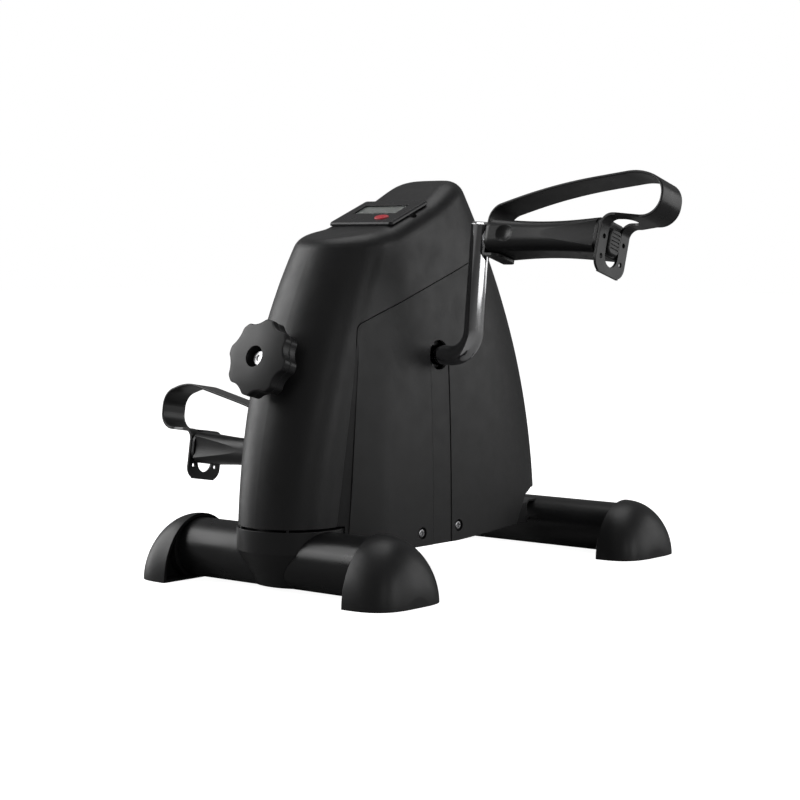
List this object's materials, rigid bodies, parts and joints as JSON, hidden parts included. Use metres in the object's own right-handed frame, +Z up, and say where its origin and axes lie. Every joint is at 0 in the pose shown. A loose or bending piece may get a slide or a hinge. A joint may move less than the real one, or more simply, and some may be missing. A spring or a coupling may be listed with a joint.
{
  "type": "pedal exerciser",
  "caption": "Compact floor pedal exerciser: black moulded housing on two floor bars, bent chrome crank, strapped pedals, tension knob and a small display.",
  "frame": {"origin": "on the floor, midway between the two floor bars and on the mid-plane between the pedals", "axes": "+Z up, +X to the right as seen from the knob side, -Y towards the knob and +Y towards the rear bar"},
  "size_m": [0.5572, 0.432, 0.341],
  "materials": {
    "tube_paint": "satin powder coat",
    "cap_plastic": "fine moulded texture",
    "saddle_plastic": "fine moulded texture",
    "frame_paint": "semi-gloss enamel",
    "bushing_nylon": "natural nylon",
    "shell_plastic": "fine moulded texture",
    "side_plastic": "fine moulded texture",
    "slot_plastic": "fine moulded texture",
    "screw_steel": "zinc plated",
    "crank_chrome": "polished",
    "drum_iron": "machined rim",
    "magnet_nickel": "nickel plated",
    "sensor_plastic": "matt",
    "band_felt": "woven friction band",
    "spring_steel": "drawn wire",
    "knob_plastic": "satin moulded",
    "bolt_zinc": "bright zinc",
    "bezel_plastic": "satin moulded",
    "lens_clear": "clear acrylic",
    "lcd_grey": "liquid-crystal glass",
    "board_green": "solder mask",
    "button_red": "semi-gloss",
    "battery_metal": "plated can",
    "pedal_plastic": "satin moulded",
    "strap_rubber": "smooth flexible vinyl"
  },
  "bodies": {
    "frame": {"front_tube": "tube_paint", "rear_tube": "tube_paint", "front_cap_right": "cap_plastic", "front_cap_left": "cap_plastic", "rear_cap_right": "cap_plastic", "rear_cap_left": "cap_plastic", "front_saddle": "saddle_plastic", "frame_rail": "frame_paint", "upright_right": "frame_paint", "upright_left": "frame_paint", "bearing_housings": "frame_paint", "crank_bushings": "bushing_nylon", "cover_brackets": "frame_paint", "front_post": "frame_paint", "top_cover": "shell_plastic", "side_cover_right": "side_plastic", "side_cover_left": "side_plastic", "slot_cover_right": "slot_plastic", "slot_cover_left": "slot_plastic", "cover_screws": "screw_steel", "reed_sensor": "sensor_plastic", "brake_band": "band_felt", "band_anchor": "screw_steel", "band_hook": "screw_steel", "display_housing": "bezel_plastic", "display_lens": "lens_clear", "lcd_panel": "lcd_grey", "display_board": "board_green", "display_battery": "battery_metal", "battery_door": "bezel_plastic"},
    "crank": {"crank": "crank_chrome", "crank_collars": "screw_steel", "drum": "drum_iron", "sensor_magnet": "magnet_nickel", "right_spindle": "bolt_zinc", "left_spindle": "bolt_zinc"},
    "right_pedal": {"right_pedal": "pedal_plastic", "right_pedal_cap": "pedal_plastic", "right_strap": "strap_rubber"},
    "left_pedal": {"left_pedal": "pedal_plastic", "left_pedal_cap": "pedal_plastic", "left_strap": "strap_rubber"},
    "knob": {"knob": "knob_plastic", "tension_screw": "bolt_zinc", "screw_collar": "screw_steel"},
    "tension_nut": {"tension_nut": "bushing_nylon", "tension_spring": "spring_steel"},
    "reset_button": {"reset_button": "button_red"}
  },
  "joints": [
    {"name": "crank_spin", "type": "hinge", "parent": "frame", "child": "crank", "pos_m": [0, -0.0382, 0.1894], "axis": [1, 0, 0], "continuous": true},
    {"name": "right_pedal_spin", "type": "hinge", "parent": "crank", "child": "right_pedal", "pos_m": [0.1145, -0.0382, 0.2864], "axis": [1, 0, 0], "continuous": true},
    {"name": "left_pedal_spin", "type": "hinge", "parent": "crank", "child": "left_pedal", "pos_m": [-0.1145, -0.0382, 0.0924], "axis": [1, 0, 0], "continuous": true},
    {"name": "knob_turn", "type": "hinge", "parent": "frame", "child": "knob", "pos_m": [0, -0.19551, 0.18929], "axis": [0, 0.9563, -0.2924], "range_deg": [0, 2880]},
    {"name": "tension_slide", "type": "slide", "parent": "frame", "child": "tension_nut", "axis": [0, -0.9563, 0.2924], "range_m": [0, 0.0101]},
    {"name": "reset_press", "type": "slide", "parent": "frame", "child": "reset_button", "axis": [0, 0.3681, -0.9298], "range_m": [0, 0.0012], "stiffness_N_per_m": 600}
  ],
  "couplings": [
    {"joint": "tension_slide", "follows": "knob_turn", "m_per_rad": 0.00019894}
  ]
}
